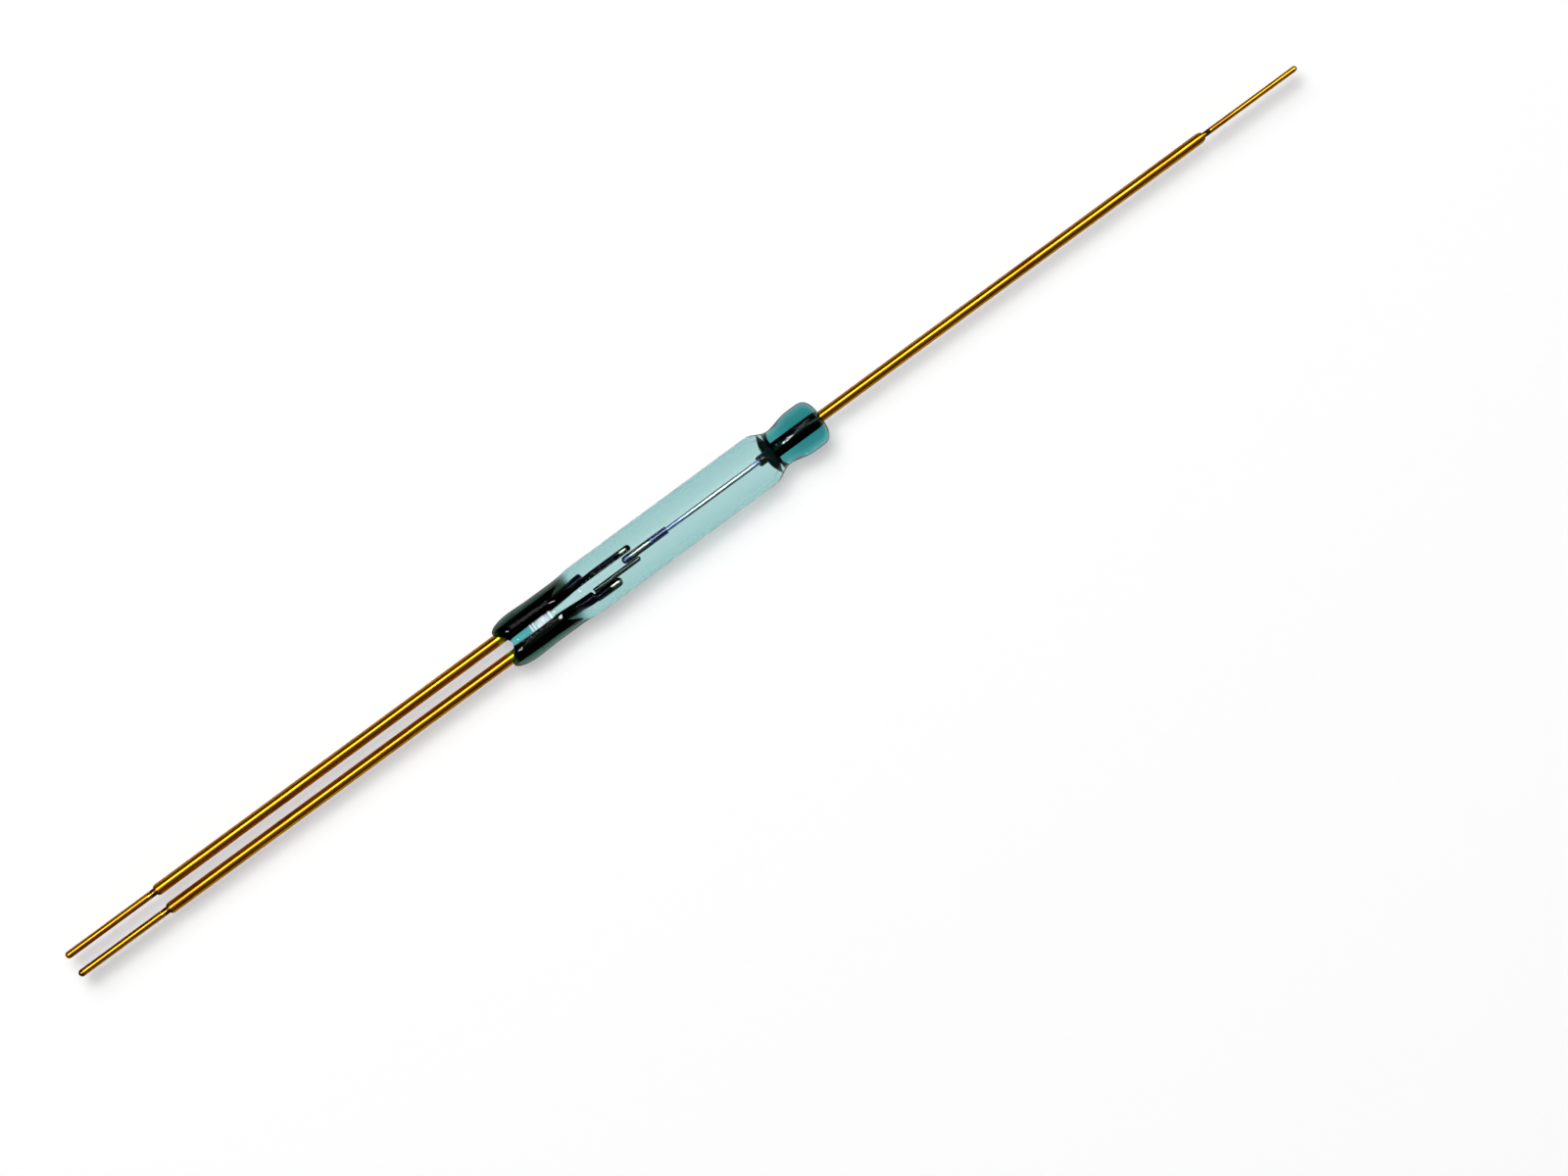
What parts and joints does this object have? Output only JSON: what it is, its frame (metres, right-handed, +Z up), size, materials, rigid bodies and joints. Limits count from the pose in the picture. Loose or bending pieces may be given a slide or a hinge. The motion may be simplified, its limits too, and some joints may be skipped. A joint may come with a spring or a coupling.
{
  "type": "glass reed switch",
  "caption": "Changeover reed switch: a flexing reed between a normally open and a normally closed contact, sealed in a tinted glass tube with gold-plated wire leads.",
  "frame": {"origin": "on the glass axis, at the middle of the straight tube", "axes": "+X along the glass toward the common lead, +Y across the contacts toward the normally open lead, +Z up"},
  "size_m": [0.0645, 0.0024, 0.0024],
  "materials": {
    "tinted_glass": "fire polished, blue-green tint",
    "gold_plate": "gold plated nickel-iron wire, dark oxide inside the seals",
    "bright_spring": "bright rolled",
    "contact_metal": "dark plated"
  },
  "bodies": {
    "capsule": {"glass_envelope": "tinted_glass", "common_lead": "gold_plate", "reed_spring": "bright_spring", "normally_open_lead": "gold_plate", "normally_closed_lead": "gold_plate", "contact_strip": "contact_metal"},
    "reed": {"armature": "contact_metal"}
  },
  "joints": [
    {"name": "reed_flex", "type": "hinge", "parent": "capsule", "child": "reed", "pos_m": [0.00298, 0, 0], "axis": [0, 0, -1], "range_deg": [0, 0.5], "stiffness_Nm_per_rad": 0.024, "springref_deg": -0.34, "deforming": ["reed_spring"]}
  ]
}
